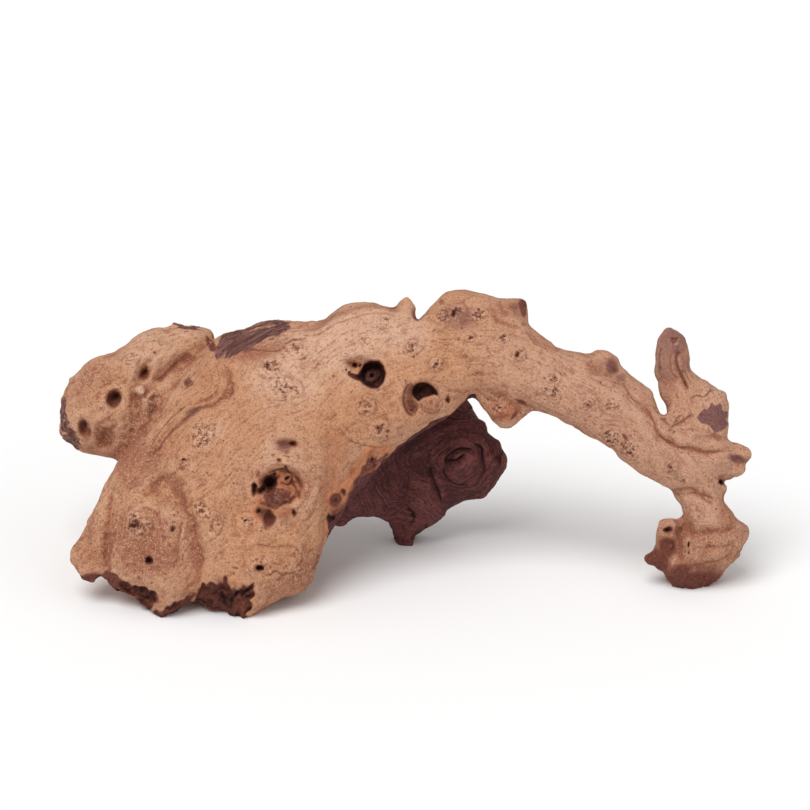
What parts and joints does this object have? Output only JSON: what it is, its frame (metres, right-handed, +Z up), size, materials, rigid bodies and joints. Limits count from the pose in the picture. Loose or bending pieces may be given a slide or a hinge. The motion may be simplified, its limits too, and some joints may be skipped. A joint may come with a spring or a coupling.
{
  "type": "mopani root",
  "caption": "Arching piece of gnarled mopani root with a broad knotty crown, a dark heartwood leg and a hooked foot; stands free as terrarium or aquarium hardscape.",
  "frame": {"origin": "centre of the bounding box in plan, on the plane the root stands on", "axes": "+X along the root, from the burl at the left to the hooked foot; -Y is the front seen in the picture; +Z up"},
  "size_m": [0.4212, 0.1516, 0.1737],
  "materials": {
    "crown_wood": "bare sand-blasted root wood, tan with red-brown grain, dry and matt",
    "burl_wood": "bare burl wood, tan with dark pits, matt",
    "heartwood": "dark chocolate heartwood, faint growth rings, slightly waxy",
    "arch_wood": "bare pale sapwood, smooth and matt",
    "finger_wood": "bare sapwood, purple-brown at the tip, matt",
    "foot_wood": "red-brown wood, dark underneath, matt"
  },
  "bodies": {
    "root": {"root_crown": "crown_wood", "left_burl": "burl_wood", "heartwood_leg": "heartwood", "arching_limb": "arch_wood", "upright_finger": "finger_wood", "hooked_foot": "foot_wood"}
  },
  "joints": []
}
